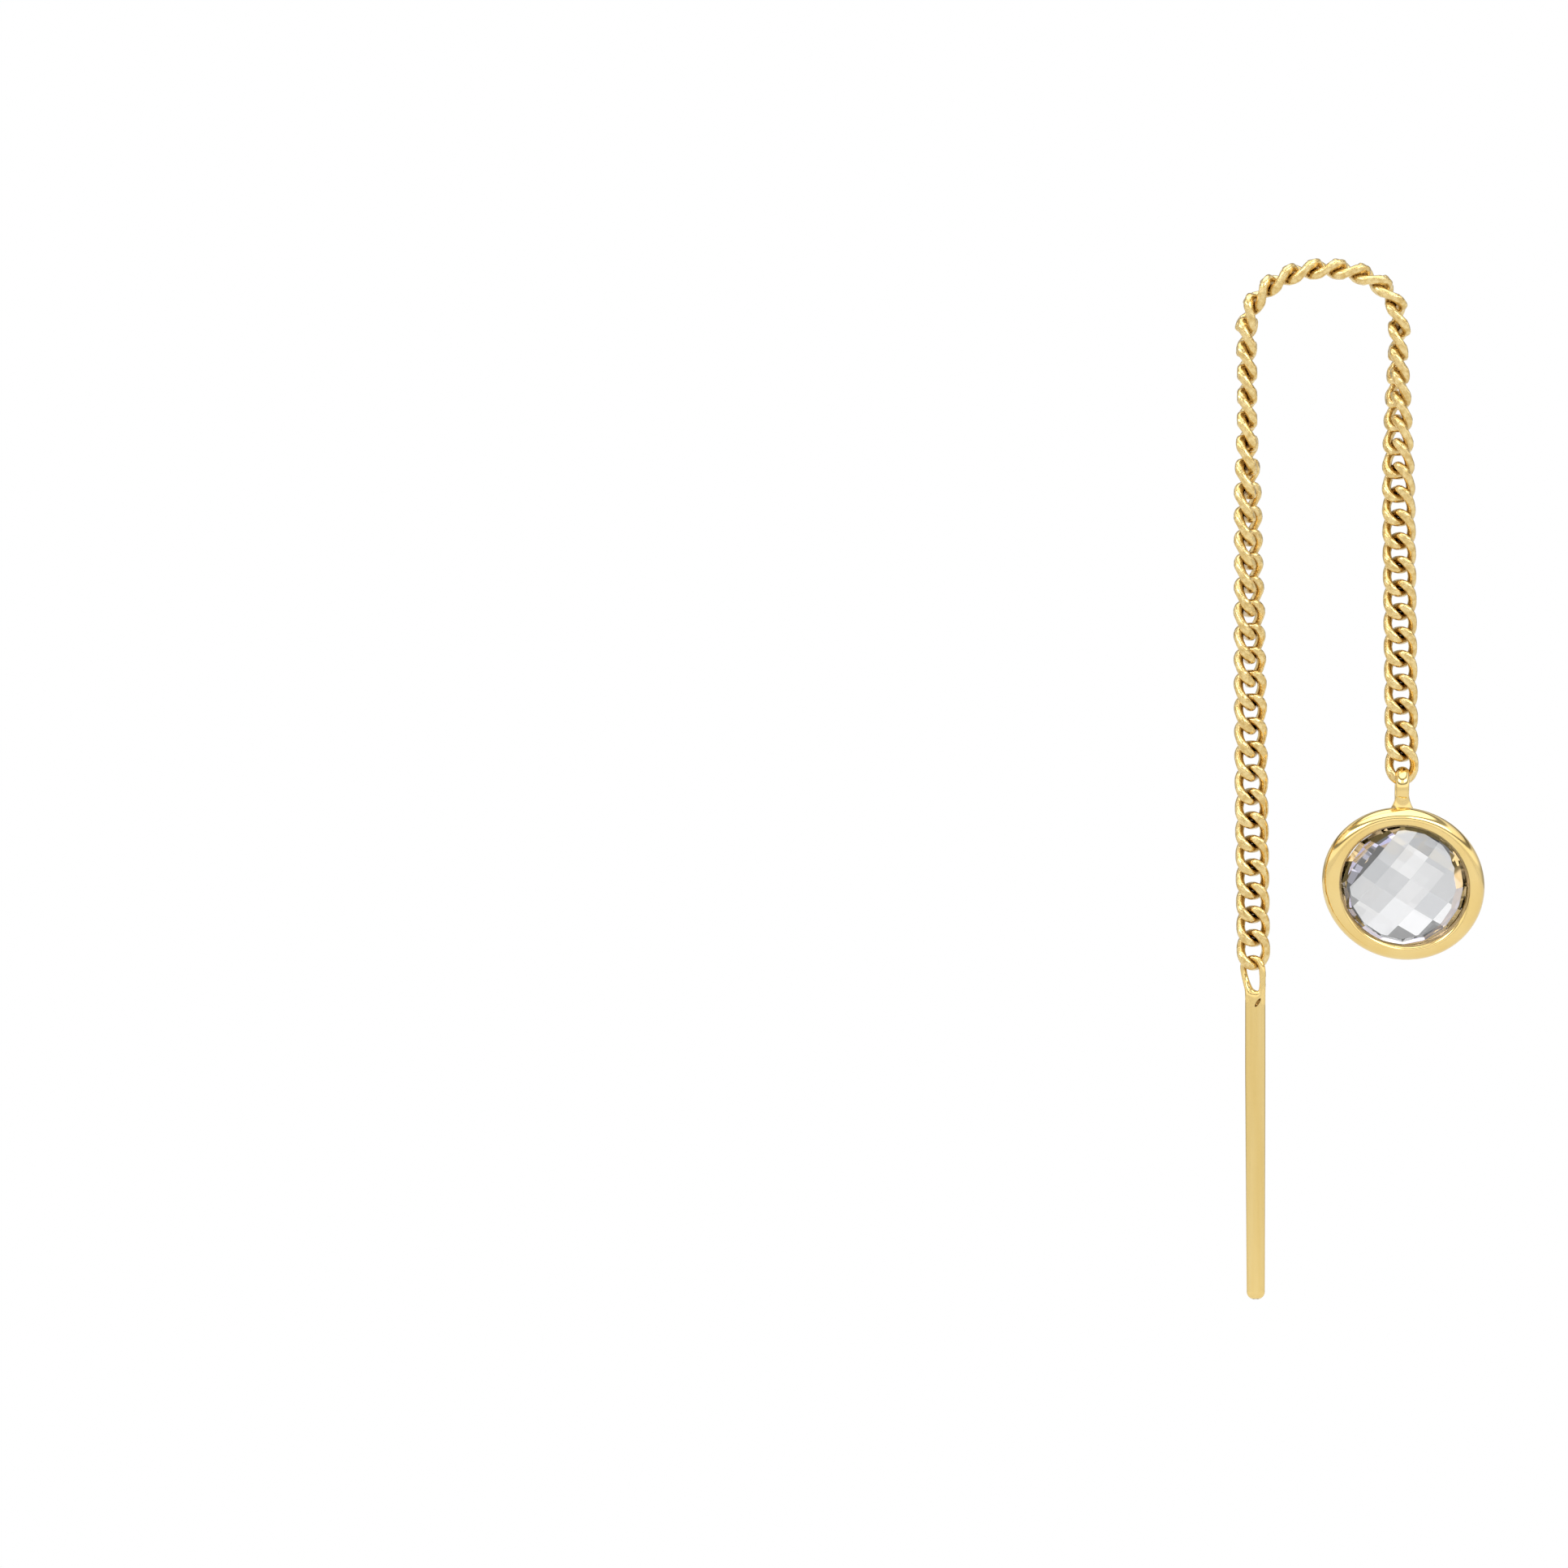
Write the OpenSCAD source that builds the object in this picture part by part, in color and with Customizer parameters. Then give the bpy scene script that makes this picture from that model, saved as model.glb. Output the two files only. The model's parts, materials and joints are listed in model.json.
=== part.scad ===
// Threader earring: a fine curb chain bent over into an arch, with a stone drop on
// one end and a straight post on the other. Millimetres, +Z up, seen from -Y.
// The origin is where the chain's centre line crosses the crown of the arch, which
// is the place where it lies in the ear.

/* [Chain] */
// Width of the chain where it is seen flat
chain_w = 1.31; // [1.25:0.01:1.4]
// Thickness of the wire of a link
link_wire = 0.26; // [0.24:0.01:0.27]
// Distance from one link to the next
link_pitch = 0.907; // [0.88:0.001:0.95]
// Play of one link in the next, along the chain
link_play = 0.165; // [0.16:0.005:0.18]
// Twist of a link from one end to the other, in degrees
link_twist = 100; // [90:1:110]
// Links from the crown to the drop
drop_side_links = 24; // [20:1:26]
// Links from the crown to the post
post_side_links = 31; // [28:1:34]
// How far the middle joint of the chain lies past the crown
crown_shift = 0.38; // [0.3:0.01:0.45]

/* [Arch] */
// Reach of the arch from the crown to the leg with the drop
drop_reach = 2.83; // [2.7:0.01:3.2]
// Height of the arch on the side of the drop
drop_rise = 2.1; // [2.05:0.01:2.6]
// Reach of the arch from the crown to the leg with the post
post_reach = 2.98; // [2.8:0.01:3.3]
// Height of the arch on the side of the post
post_rise = 2.35; // [2.2:0.01:2.8]
// Depth below the crown where the legs start to lean
lean_start = 6.5; // [5:0.1:12]
// Outward lean of the leg with the drop, in degrees
drop_leg_lean = 0.65; // [0:0.05:1]
// Inward lean of the leg with the post, in degrees
post_leg_lean = 0.7; // [0:0.05:1]

/* [Stone] */
// Diameter of the stone
stone_d = 5; // [4.5:0.1:6]
// Height of the crown of the stone above its girdle
stone_crown = 0.8; // [0.7:0.01:0.9]
// Thickness of the girdle
girdle_h = 0.1; // [0.08:0.01:0.15]
// Side of one square facet on the crown
facet_w = 0.89; // [0.8:0.01:1]
// Slope of the first row of square facets round the middle one, in degrees
inner_slope = 9; // [7:0.5:11]
// Slope of the next row of square facets, in degrees
outer_slope = 20; // [17:0.5:22]
// Turn of the rows of square facets, in degrees
facet_turn = 35; // [0:1:45]
// Slope of the facets round the crown, in degrees
crown_slope = 42; // [38:1:46]
// Slope of the facets under the girdle, in degrees
pavilion_slope = 36; // [32:1:38]
// Diameter of the flat culet
culet_d = 0.7; // [0.4:0.05:0.8]

/* [Bezel] */
// Gap between the stone and its setting
stone_gap = 0.04; // [0.03:0.005:0.06]
// How far the rim covers the edge of the stone
rim_cover = 0.12; // [0.09:0.01:0.15]
// Width of the rim seen from the front
rim_w = 0.72; // [0.62:0.01:0.8]
// Height of the rim above the girdle
rim_h = 0.6; // [0.5:0.01:0.7]
// Depth of the setting behind the girdle
setting_depth = 1.75; // [1.7:0.01:2]
// Taper of the outer wall towards the back, in degrees
wall_taper = 17; // [14:0.5:18]
// Diameter of the open back
back_hole_d = 4.1; // [3.6:0.1:4.3]
// Rounding of the back edge
back_round = 0.12; // [0.08:0.01:0.15]

/* [Bail] */
// Thickness of the wire of the bail
bail_wire = 0.38; // [0.34:0.01:0.4]
// Diameter of the bail, along the centre line of its wire
bail_d = 1.4; // [1.3:0.05:1.6]
// How far the middle of the bail stands above the wall of the setting
bail_stand = 0.79; // [0.75:0.01:0.85]
// How far the bail stands behind the girdle
bail_back = 1.29; // [1.2:0.01:1.4]
// Width of the solder foot of the bail
foot_w = 0.75; // [0.6:0.01:0.8]
// Height of the solder foot above the wall of the setting
foot_h = 0.25; // [0.2:0.01:0.3]
// Play of the bail and of the eye on their links
hang_play = 0.11; // [0.08:0.01:0.12]
// Forward lean of the hanging drop, in degrees
drop_lean = 14; // [10:0.5:16]
// Turn of the drop away from the post, in degrees
drop_turn = 6; // [0:1:12]

/* [Post] */
// Diameter of the post
post_d = 0.8; // [0.75:0.01:0.9]
// Length of the post below its eye
post_l = 11.9; // [10:0.1:14]
// Rounding of the tip of the post
tip_round = 0.22; // [0.1:0.01:0.3]
// Thickness of the wire of the eye
eye_wire = 0.27; // [0.25:0.01:0.3]
// Width of the eye, along the centre line of its wire
eye_w = 0.82; // [0.8:0.01:0.9]
// Distance from the link in the eye down to the top of the post
eye_drop = 0.93; // [0.85:0.01:1.1]
// Turn of the eye, in degrees
eye_turn = -28; // [-35:1:-20]

/* [Hidden] */

// Steps of a round shape, and of the meshed links, stone and rounded edges
$fn = 48;
LINK_RINGS = 14;
WIRE_SIDES = 6;
STONE_SIDES = 16;
ARCH_STEPS = 30;
ROUND_STEPS = 8;
// Fullness of a link along the chain and across it, where 1 would be an ellipse
LINK_FULL_LONG = 0.85;
LINK_FULL_WIDE = 0.65;
// Columns of a side of the arch, and 2 for its squareness means an ellipse
REACH = 0;
RISE = 1;
SQUARENESS = 2;
LEAN = 3;
SIGN = 4;
DROP_SIDE = [drop_reach, drop_rise, 2.2, drop_leg_lean, 1];
POST_SIDE = [post_reach, post_rise, 2, -post_leg_lean, -1];
// How the flat of the chain turns along each leg: columns are the share of the
// leg's length from the crown, and the degrees from facing the front
DROP_TURNS = [
    [0, 90], [0.22, 90], [0.26, 78], [0.31, 66], [0.35, 57], [0.39, 48],
    [0.43, 37], [0.48, 22], [0.53, 11], [0.6, 3], [0.65, 0], [1, 0]
];
POST_TURNS = [
    [0, 90], [0.28, 90], [0.34, 77], [0.37, 66], [0.4, 60], [0.5, 56],
    [0.54, 44], [0.6, 40], [0.63, 31], [0.72, 25], [0.76, 15], [0.79, 0], [1, 0]
];

// Half length and half width of a link, along the centre line of its wire
link_a = (link_pitch + link_wire + link_play) / 2;
link_b = (chain_w - link_wire) / 2;
twist_per_mm = link_twist / (2 * link_a);

drop_side_l = drop_side_links * link_pitch;
post_side_l = post_side_links * link_pitch;
drop_end = -drop_side_l + crown_shift + link_pitch / 2 - link_a;
post_end = post_side_l + crown_shift - link_pitch / 2 + link_a;

// The route of the chain: s is the length along it from the crown, below 0 on the
// side of the drop and above 0 on the side of the post
function arch_point(side, u) = [
    side[REACH] * pow(sin(u), 2 / side[SQUARENESS]),
    -side[RISE] * (1 - pow(cos(u), 2 / side[SQUARENESS]))
];
function leg_point(side, depth) =
    [side[REACH] + (depth - lean_start) * tan(side[LEAN]), -depth];
function side_path(side, length) = concat(
    [for (i = [0:ARCH_STEPS]) arch_point(side, 90 * i / ARCH_STEPS)],
    [leg_point(side, lean_start), leg_point(side, lean_start + length)]
);
function step(path, i) = norm(path[min(i + 1, len(path) - 1)] - path[i]);
function lengths(path) = [for (i = 0, s = 0; i < len(path); s = s + step(path, i), i = i + 1) s];
function columns(path, axis) =
    let (s = lengths(path)) [for (i = [0:len(path) - 1]) [s[i], path[i][axis]]];

drop_path = side_path(DROP_SIDE, drop_side_l);
post_path = side_path(POST_SIDE, post_side_l);
drop_x = columns(drop_path, 0);
drop_z = columns(drop_path, 1);
post_x = columns(post_path, 0);
post_z = columns(post_path, 1);

function route(s) = s < 0
    ? [DROP_SIDE[SIGN] * lookup(-s, drop_x), 0, lookup(-s, drop_z)]
    : [POST_SIDE[SIGN] * lookup(s, post_x), 0, lookup(s, post_z)];
function unit(v) = v / norm(v);
function heading(s) = unit(route(s + link_pitch / 2) - route(s - link_pitch / 2));
function flat_turn(s) = s < 0
    ? lookup(-s / drop_side_l, DROP_TURNS)
    : lookup(s / post_side_l, POST_TURNS);

// A link is a flat oval, wound about the chain's line as a helix
function keep_sign(value, power) = sign(value) * pow(abs(value), power);
function link_long(t) = link_a * keep_sign(cos(t), LINK_FULL_LONG);
function link_wide(t) = link_b * keep_sign(sin(t), LINK_FULL_WIDE);
function link_centre(t, ahead, side, front) =
    let (along = link_long(t), across = link_wide(t), wind = twist_per_mm * along)
    along * ahead + across * cos(wind) * side + across * sin(wind) * front;
function link_normal(t, side, front) =
    let (wind = twist_per_mm * link_long(t))
    cos(wind) * front - sin(wind) * side;
function link_ring(t, ahead, side, front) =
    let (
        nudge = 90 / LINK_RINGS,
        centre = link_centre(t, ahead, side, front),
        before = link_centre(t - nudge, ahead, side, front),
        after = link_centre(t + nudge, ahead, side, front),
        wire = unit(after - before),
        flat = link_normal(t, side, front),
        up = unit(flat - (flat * wire) * wire),
        out = cross(wire, up)
    )
    [for (j = [0:WIRE_SIDES - 1]) let (turn = 360 * (j + 0.5) / WIRE_SIDES)
        centre + link_wire / 2 * (cos(turn) * out + sin(turn) * up)];

module curb_link(s) {
    ahead = heading(s);
    inward = [-ahead.z, 0, ahead.x];
    turn = flat_turn(s);
    front = sin(turn) * inward - cos(turn) * [0, 1, 0];
    side = cross(ahead, front);
    points = [
        for (i = [0:LINK_RINGS - 1])
            each link_ring(360 * (i + 0.5) / LINK_RINGS, ahead, side, front)
    ];
    count = LINK_RINGS * WIRE_SIDES;
    faces = [
        for (i = [0:LINK_RINGS - 1], j = [0:WIRE_SIDES - 1])
            let (
                here = i * WIRE_SIDES,
                there = (here + WIRE_SIDES) % count,
                next = (j + 1) % WIRE_SIDES
            )
            each [[here + j, here + next, there + next], [here + j, there + next, there + j]]
    ];
    translate(route(s)) polyhedron(points = points, faces = faces, convexity = 4);
}

module chain_drop_side() {
    color("goldenrod")
        for (i = [1:drop_side_links])
            curb_link(crown_shift + (0.5 - i) * link_pitch);
}

module chain_post_side() {
    color("goldenrod")
        for (i = [1:post_side_links])
            curb_link(crown_shift + (i - 0.5) * link_pitch);
}

// The stone's own frame: the girdle lies in XY and the crown points up
crown_top = girdle_h / 2 + stone_crown;
facet_rows = 2 * ceil(stone_d / 2 / facet_w) + 1;
function facet_edge(i) = (i - facet_rows / 2) * facet_w;
function facet_fall(x) =
    let (row = abs(x) / facet_w - 0.5)
    facet_w * (min(row, 1) * tan(inner_slope) + max(row - 1, 0) * tan(outer_slope));

module square_facets(depth) {
    n = facet_rows;
    top = [
        for (i = [0:n], j = [0:n])
            let (x = facet_edge(i), y = facet_edge(j))
            [x, y, crown_top - facet_fall(x) - facet_fall(y)]
    ];
    bottom = [for (corner = top) [corner.x, corner.y, -depth]];
    below = (n + 1) * (n + 1);
    top_faces = [
        for (i = [0:n - 1], j = [0:n - 1])
            let (k = i * (n + 1) + j) [k, k + 1, k + n + 2, k + n + 1]
    ];
    rim = concat(
        [for (i = [0:n - 1]) i * (n + 1)],
        [for (j = [0:n - 1]) n * (n + 1) + j],
        [for (i = [n:-1:1]) i * (n + 1) + n],
        [for (j = [n:-1:1]) j]
    );
    side_faces = [
        for (k = [0:len(rim) - 1])
            let (here = rim[k], there = rim[(k + 1) % len(rim)])
            [here, there, there + below, here + below]
    ];
    floor_faces = [
        for (i = [0:n - 1], j = [0:n - 1])
            let (k = below + i * (n + 1) + j) [k, k + n + 1, k + n + 2, k + 1]
    ];
    faces = concat(top_faces, side_faces, floor_faces);
    polyhedron(points = concat(top, bottom), faces = faces, convexity = 4);
}

module round_facets(rings) {
    points = [
        for (ring = rings, j = [0:STONE_SIDES - 1])
            let (turn = 360 * j / STONE_SIDES) [ring.x * cos(turn), ring.x * sin(turn), ring.y]
    ];
    last = (len(rings) - 1) * STONE_SIDES;
    faces = concat(
        [[for (j = [0:STONE_SIDES - 1]) j]],
        [for (k = [0:len(rings) - 2], j = [0:STONE_SIDES - 1])
            let (here = k * STONE_SIDES, next = (j + 1) % STONE_SIDES)
            [here + j, here + STONE_SIDES + j, here + STONE_SIDES + next, here + next]],
        [[for (j = [STONE_SIDES - 1:-1:0]) last + j]]
    );
    polyhedron(points = points, faces = faces, convexity = 4);
}

stone_r = stone_d / 2;
culet_depth = girdle_h / 2 + (stone_r - culet_d / 2) * tan(pavilion_slope);
crown_cap_r = stone_r - (stone_crown + girdle_h) / tan(crown_slope);

module cut_stone() {
    intersection() {
        rotate([0, 0, -facet_turn]) square_facets(2 * culet_depth);
        round_facets([
            [culet_d / 2, -culet_depth],
            [stone_r, -girdle_h / 2],
            [stone_r, girdle_h / 2],
            [crown_cap_r, crown_top + girdle_h / 2]
        ]);
    }
}

// The setting's frame is the stone's, with the same girdle plane
rim_in_r = stone_r - rim_cover;
rim_crest_r = rim_in_r + rim_w / 2;
setting_r = rim_in_r + rim_w;
pocket_r = stone_r + stone_gap;
rim_edge_z = girdle_h / 2 + rim_cover * tan(crown_slope) + stone_gap / cos(crown_slope);
seat_rise = (stone_r - back_hole_d / 2) * tan(pavilion_slope);
seat_depth = girdle_h / 2 + seat_rise + stone_gap / cos(pavilion_slope);
back_r = setting_r - setting_depth * tan(wall_taper);

function arc(centre, radius, from, to) = [
    for (i = [0:ROUND_STEPS]) let (turn = from + (to - from) * i / ROUND_STEPS)
        centre + [radius.x * cos(turn), radius.y * sin(turn)]
];

module setting_profile() {
    polygon(concat(
        arc([rim_crest_r, rim_edge_z], [rim_w / 2, rim_h - rim_edge_z], 180, 90),
        arc([rim_crest_r, 0], [rim_w / 2, rim_h], 78, 0),
        arc([back_r - back_round, back_round - setting_depth], [back_round, back_round], 0, -90),
        [
            [back_hole_d / 2, -setting_depth],
            [back_hole_d / 2, -seat_depth],
            [pocket_r, -girdle_h / 2 - stone_gap],
            [pocket_r, girdle_h / 2 + stone_gap]
        ]
    ));
}

// The drop's frame: the stone faces -Y, and the girdle's middle is the origin
wall_r_at_bail = setting_r - bail_back * tan(wall_taper);
bail_up = wall_r_at_bail + bail_stand;
bail_hang = bail_d / 2 - bail_wire / 2 - link_wire / 2 - hang_play;

module face_front() {
    rotate([90, 0, 0]) children();
}

module place_drop() {
    translate(route(drop_end) - [0, 0, bail_hang])
        rotate([drop_lean, 0, drop_turn])
            translate([0, -bail_back, -bail_up])
                children();
}

module bezel() {
    color("gold")
        place_drop()
            union() {
                face_front() rotate_extrude() setting_profile();
                translate([0, bail_back, bail_up])
                    rotate([0, 90, 0])
                        rotate_extrude() translate([bail_d / 2, 0]) circle(d = bail_wire);
                translate([0, bail_back, wall_r_at_bail - foot_h])
                    cylinder(d1 = foot_w, d2 = bail_wire, h = 2 * foot_h);
            }
}

module stone() {
    color("whitesmoke") place_drop() face_front() cut_stone();
}

// The post's frame: the link that it hangs on is the origin
eye_top = link_wire / 2 + hang_play + eye_wire / 2;
eye_mid = eye_top - eye_w / 2;
post_r = post_d / 2;
// The sides of the eye run down to the post and end inside it
eye_foot_x = post_r - eye_wire / 2;
eye_foot_z = -eye_drop - eye_wire;
eye_side_l = norm([eye_w / 2 - eye_foot_x, eye_mid - eye_foot_z]);
eye_side_lean = atan2(eye_w / 2 - eye_foot_x, eye_mid - eye_foot_z);

module eye_side() {
    translate([eye_foot_x, 0, eye_foot_z])
        rotate([0, eye_side_lean, 0])
            cylinder(d = eye_wire, h = eye_side_l);
    translate([eye_foot_x, 0, eye_foot_z]) sphere(d = eye_wire);
}

module post() {
    color("gold")
        translate(route(post_end))
            union() {
                rotate([0, 0, eye_turn]) {
                    translate([0, 0, eye_mid]) rotate([90, 0, 0])
                        rotate_extrude(angle = 180) translate([eye_w / 2, 0]) circle(d = eye_wire);
                    eye_side();
                    mirror([1, 0, 0]) eye_side();
                    translate([eye_w / 2, 0, eye_mid]) sphere(d = eye_wire);
                    translate([-eye_w / 2, 0, eye_mid]) sphere(d = eye_wire);
                }
                translate([0, 0, -eye_drop])
                    rotate_extrude()
                        polygon(concat(
                            [[0, 0]],
                            arc([post_r - tip_round, -tip_round], [tip_round, tip_round], 90, 0),
                            arc([post_r - tip_round, tip_round - post_l], [tip_round, tip_round], 0, -90),
                            [[0, -post_l]]
                        ));
            }
}

chain_drop_side();
chain_post_side();
bezel();
stone();
post();
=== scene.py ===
import json
import math

import bpy
import numpy as np
from mathutils import Matrix, Vector, noise


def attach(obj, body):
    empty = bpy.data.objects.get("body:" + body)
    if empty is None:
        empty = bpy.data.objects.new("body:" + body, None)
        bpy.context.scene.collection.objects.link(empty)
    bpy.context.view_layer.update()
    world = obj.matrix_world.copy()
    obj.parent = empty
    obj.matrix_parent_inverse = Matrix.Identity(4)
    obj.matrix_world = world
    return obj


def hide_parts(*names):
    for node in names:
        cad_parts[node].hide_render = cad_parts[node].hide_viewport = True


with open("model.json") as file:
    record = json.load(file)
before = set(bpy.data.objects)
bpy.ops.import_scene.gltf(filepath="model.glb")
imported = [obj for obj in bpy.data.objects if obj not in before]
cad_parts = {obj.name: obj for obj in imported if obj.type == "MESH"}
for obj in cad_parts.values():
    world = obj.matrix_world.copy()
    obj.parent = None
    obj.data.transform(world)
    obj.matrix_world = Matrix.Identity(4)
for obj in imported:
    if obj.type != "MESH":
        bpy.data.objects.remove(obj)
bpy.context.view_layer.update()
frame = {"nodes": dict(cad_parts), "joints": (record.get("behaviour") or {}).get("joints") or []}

# Gold
# Chain, setting, bail and post are 9 ct yellow gold, polished and a little handled.
# Its colour shifts slightly and fine hairlines cross the polish; its crevices are painted
# darker, as painted shade.
# Sizes are in millimetres and angles in degrees; MM brings a size into the frame's metres.
MM = 0.001
GOLD = (0.885, 0.672, 0.288, 1)
WARM_GOLD = (0.85, 0.62, 0.235, 1)
# Painted shade: crevices found by ambient occlusion are painted towards this colour, within this
# reach and between these levels.
PAINTED_CREVICE_SHADE = (0.52, 0.38, 0.19, 1)
CREVICE_REACH = 0.28
CREVICE_STARTS = 0.95
CREVICE_FULL = 0.25
CREVICE_SAMPLES = 6
PATCH_DETAIL = 3
PATCH_STARTS = 0.35
PATCH_FULL = 0.65
HAIRLINE_SCALE = 9000
HAIRLINE_DETAIL = 5
HAIRLINE_ROUGHNESS = 0.6


def gold_finish_group():
    """Colour, roughness and height of polished gold, for every gold part, with painted shade in
    its crevices.
    """
    group = bpy.data.node_groups.new("gold_finish", "ShaderNodeTree")
    for name, kind in (
        ("Colour", "NodeSocketColor"),
        ("Warm Colour", "NodeSocketColor"),
        ("Painted Crevice Shade", "NodeSocketColor"),
        ("Patch Scale", "NodeSocketFloat"),
        ("Hairline Scale", "NodeSocketFloat"),
        ("Polish", "NodeSocketFloat"),
        ("Hairlines", "NodeSocketFloat"),
        ("Drawn Out", "NodeSocketVector"),
    ):
        group.interface.new_socket(name=name, in_out="INPUT", socket_type=kind)
    for name, kind in (
        ("Colour", "NodeSocketColor"),
        ("Roughness", "NodeSocketFloat"),
        ("Height", "NodeSocketFloat"),
    ):
        group.interface.new_socket(name=name, in_out="OUTPUT", socket_type=kind)
    nodes, link = group.nodes, group.links.new
    given, made = nodes.new("NodeGroupInput"), nodes.new("NodeGroupOutput")
    place, stretch = nodes.new("ShaderNodeTexCoord"), nodes.new("ShaderNodeVectorMath")
    stretch.operation = "MULTIPLY"
    link(place.outputs["Object"], stretch.inputs[0])
    link(given.outputs["Drawn Out"], stretch.inputs[1])
    patches = nodes.new("ShaderNodeTexNoise")
    patches.inputs["Detail"].default_value = PATCH_DETAIL
    link(stretch.outputs["Vector"], patches.inputs["Vector"])
    link(given.outputs["Patch Scale"], patches.inputs["Scale"])
    tone, clearer = nodes.new("ShaderNodeMix"), nodes.new("ShaderNodeMapRange")
    tone.data_type = "RGBA"
    clearer.inputs["From Min"].default_value = PATCH_STARTS
    clearer.inputs["From Max"].default_value = PATCH_FULL
    link(patches.outputs["Fac"], clearer.inputs["Value"])
    link(clearer.outputs["Result"], tone.inputs["Factor"])
    link(given.outputs["Colour"], tone.inputs["A"])
    link(given.outputs["Warm Colour"], tone.inputs["B"])
    # Painted shade: where nearby surfaces hide the gold, its colour is mixed towards the crevice
    # shade colour.
    hidden, dark = nodes.new("ShaderNodeAmbientOcclusion"), nodes.new("ShaderNodeMapRange")
    hidden.samples = CREVICE_SAMPLES
    hidden.inputs["Distance"].default_value = CREVICE_REACH * MM
    dark.inputs["From Min"].default_value = CREVICE_STARTS
    dark.inputs["From Max"].default_value = CREVICE_FULL
    link(hidden.outputs["AO"], dark.inputs["Value"])
    painted_shade = nodes.new("ShaderNodeMix")
    painted_shade.data_type = "RGBA"
    link(dark.outputs["Result"], painted_shade.inputs["Factor"])
    link(tone.outputs["Result"], painted_shade.inputs["A"])
    link(given.outputs["Painted Crevice Shade"], painted_shade.inputs["B"])
    link(painted_shade.outputs["Result"], made.inputs["Colour"])
    lines = nodes.new("ShaderNodeTexNoise")
    lines.inputs["Detail"].default_value = HAIRLINE_DETAIL
    lines.inputs["Roughness"].default_value = HAIRLINE_ROUGHNESS
    link(stretch.outputs["Vector"], lines.inputs["Vector"])
    link(given.outputs["Hairline Scale"], lines.inputs["Scale"])
    spread = nodes.new("ShaderNodeMath")
    spread.operation = "MULTIPLY"
    link(lines.outputs["Fac"], spread.inputs[0])
    link(given.outputs["Hairlines"], spread.inputs[1])
    rough = nodes.new("ShaderNodeMath")
    rough.operation = "ADD"
    link(spread.outputs[0], rough.inputs[0])
    link(given.outputs["Polish"], rough.inputs[1])
    link(rough.outputs[0], made.inputs["Roughness"])
    link(lines.outputs["Fac"], made.inputs["Height"])
    return group


GOLD_FINISH = gold_finish_group()


def gold_material(name, colour, warm, crevice_shade, patches, polish, hairlines, bump, drawn_out):
    """Gold with its own colours, painted crevice shade, least roughness, hairlines and direction
    of drawing.
    """
    material = bpy.data.materials.new(name)
    material.use_nodes = True
    nodes, link = material.node_tree.nodes, material.node_tree.links.new
    shader = nodes["Principled BSDF"]
    shader.inputs["Metallic"].default_value = 1
    finish = nodes.new("ShaderNodeGroup")
    finish.node_tree = GOLD_FINISH
    finish.inputs["Colour"].default_value = colour
    finish.inputs["Warm Colour"].default_value = warm
    finish.inputs["Painted Crevice Shade"].default_value = crevice_shade
    finish.inputs["Patch Scale"].default_value = patches
    finish.inputs["Hairline Scale"].default_value = HAIRLINE_SCALE
    finish.inputs["Polish"].default_value = polish
    finish.inputs["Hairlines"].default_value = hairlines
    finish.inputs["Drawn Out"].default_value = drawn_out
    relief = nodes.new("ShaderNodeBump")
    relief.inputs["Distance"].default_value = bump * MM
    link(finish.outputs["Colour"], shader.inputs["Base Color"])
    link(finish.outputs["Roughness"], shader.inputs["Roughness"])
    link(finish.outputs["Height"], relief.inputs["Height"])
    link(relief.outputs["Normal"], shader.inputs["Normal"])
    return material


# Chain
# A fine curb chain of round gold wire: each oval link is bent, passed through the last
# one, soldered shut and twisted, and then the whole chain is rolled and ground flat.
MERGE = 0.0001
LINK_WIRE = 0.37
WIRE_FLATTENED = 1.2
WIRE_AT_SIDE = 0.92
WIRE_AT_CORNER = 1.12
WIRE_AT_END = 0.95
LINK_HALF_L = 0.63
LINK_HALF_W = 0.48
LINK_TWIST = 100
LINK_FULL_SIDE = 0.68
LINK_FULL_END = 0.82
ROLLED_FROM = 0.34
ROLLED_BY = 0.45
GROUND_AT = 0.39
LINK_STEPS = 7
LINK_WIRE_STEPS = 5
LINK_EDGE_SHARE = 0.97
CHAIN_GOLD = (0.9, 0.71, 0.345, 1)
CHAIN_WORN = (0.68, 0.47, 0.17, 1)
chain_gold = gold_material(
    "chain_gold_metal",
    colour=CHAIN_GOLD,
    warm=CHAIN_WORN,
    # Painted shade: gaps between links are darkened towards this colour.
    crevice_shade=PAINTED_CREVICE_SHADE,
    patches=5000,
    polish=0.03,
    hairlines=0.04,
    bump=0.013,
    drawn_out=(1, 1, 1),
)


def finish_piece(piece, name, material, smooth_angle):
    """Turns a piece made in millimetres to metres, names it and gives it its material."""
    bpy.ops.object.select_all(action="DESELECT")
    piece.select_set(True)
    bpy.context.view_layer.objects.active = piece
    bpy.ops.object.transform_apply(location=True, rotation=True, scale=True)
    bpy.ops.object.shade_smooth_by_angle(angle=math.radians(smooth_angle))
    piece.data.transform(Matrix.Scale(MM, 4))
    piece.name = piece.data.name = name
    piece.data.materials.clear()
    piece.data.materials.append(material)
    return piece


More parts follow.
